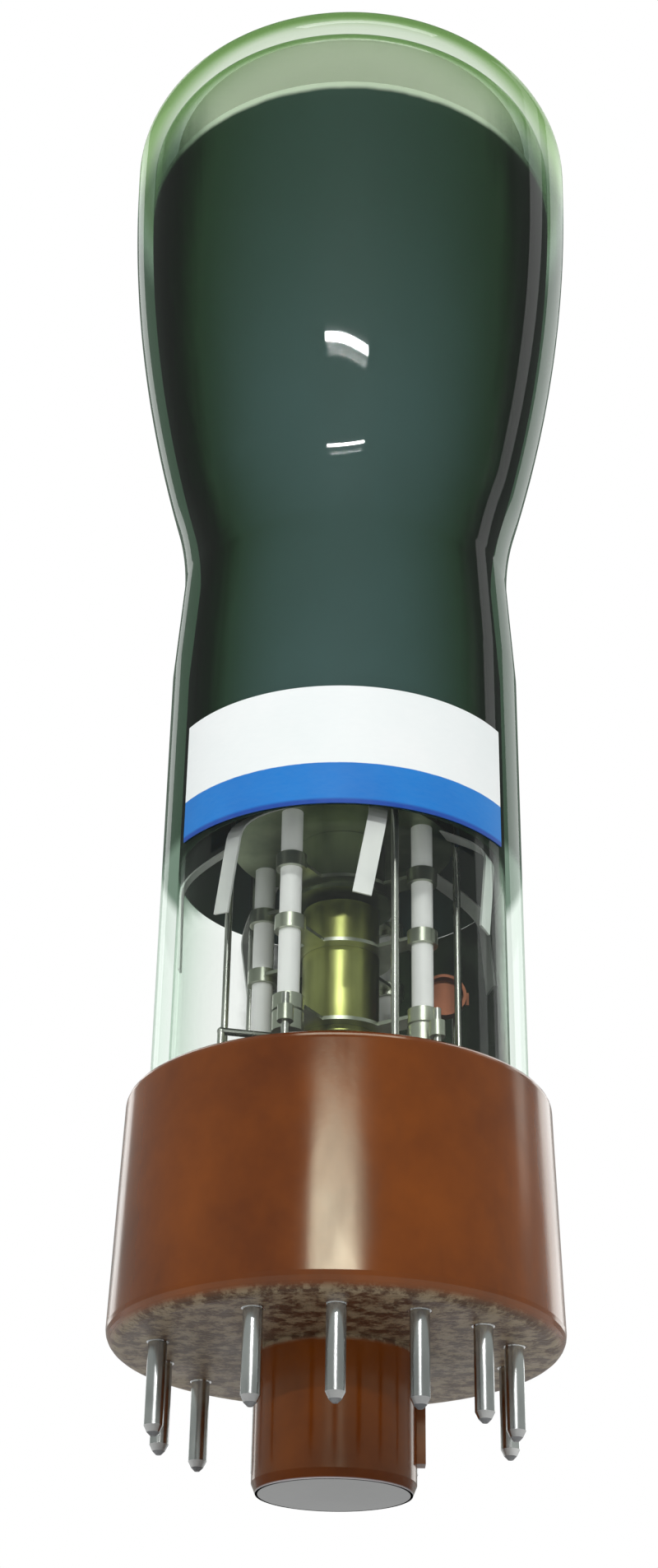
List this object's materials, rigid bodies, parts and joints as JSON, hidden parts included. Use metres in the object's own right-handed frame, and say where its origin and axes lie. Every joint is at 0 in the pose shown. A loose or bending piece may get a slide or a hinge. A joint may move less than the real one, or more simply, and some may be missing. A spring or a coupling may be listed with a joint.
{
  "type": "oscilloscope tube",
  "caption": "Small cathode ray tube: domed glass bulb, long neck with the electron gun strung on ceramic rods, graphite coating, moulded plug-in base with a keyed spigot and pins.",
  "frame": {"origin": "centre of the base's seating face, on the tube's axis", "axes": "+Z along the tube's axis towards the screen, -Y the front in the picture, +X the side of the spigot's key"},
  "size_m": [0.07, 0.07, 0.2227],
  "materials": {
    "glass": "clear blown glass with a faint green tinge",
    "phosphor": "pale powdery screen",
    "graphite": "slate grey coating seen through glass",
    "getter_mirror": "dark metallic mirror on the glass",
    "label": "white and blue band, plain",
    "bakelite": "glossy reddish brown moulding",
    "cement": "dull tan cement",
    "pin_metal": "nickel plated brass",
    "solder": "dull tin solder",
    "lead_wire": "copper wire",
    "support_wire": "bright nickel wire",
    "heater": "white insulating coat",
    "nickel": "satin nickel sheet",
    "grid_nickel": "bright nickel tube",
    "dark_nickel": "duller nickel sheet",
    "oxide": "white oxide",
    "ceramic": "white unglazed ceramic",
    "spring": "bright spring strip",
    "getter": "reddish brown flashed cup"
  },
  "bodies": {
    "root": {"glass_bulb": "glass", "glass_neck": "glass", "glass_stem": "glass", "phosphor_screen": "phosphor", "graphite_coating": "graphite", "getter_film": "getter_mirror", "neck_label": "label", "base_shell": "bakelite", "basing_cement": "cement", "base_pin_1": "pin_metal", "base_pin_2": "pin_metal", "base_pin_3": "pin_metal", "base_pin_4": "pin_metal", "base_pin_5": "pin_metal", "base_pin_6": "pin_metal", "base_pin_7": "pin_metal", "base_pin_8": "pin_metal", "base_pin_9": "pin_metal", "base_pin_10": "pin_metal", "base_pin_11": "pin_metal", "base_pin_12": "pin_metal", "pin_solder": "solder", "lead_in_wires": "lead_wire", "support_leads": "support_wire", "heater": "heater", "cathode_sleeve": "nickel", "cathode_coating": "oxide", "cathode_insulator": "ceramic", "grid_cylinder": "grid_nickel", "grid_disc": "grid_nickel", "grid_strap_lower": "nickel", "grid_strap_upper": "nickel", "accelerator": "dark_nickel", "accelerator_disc": "nickel", "accelerator_strap": "nickel", "support_disc": "dark_nickel", "focus_anode": "nickel", "focus_disc": "dark_nickel", "focus_strap": "nickel", "final_anode": "nickel", "final_disc": "dark_nickel", "final_strap": "nickel", "y_plate_front": "nickel", "y_plate_back": "nickel", "plate_shield": "dark_nickel", "x_plate_left": "nickel", "x_plate_right": "nickel", "ceramic_rod_1": "ceramic", "ceramic_rod_2": "ceramic", "ceramic_rod_3": "ceramic", "ceramic_rod_4": "ceramic", "rod_ferrules": "nickel", "centring_springs": "spring", "contact_springs": "spring", "getter_cup": "getter"}
  },
  "joints": []
}
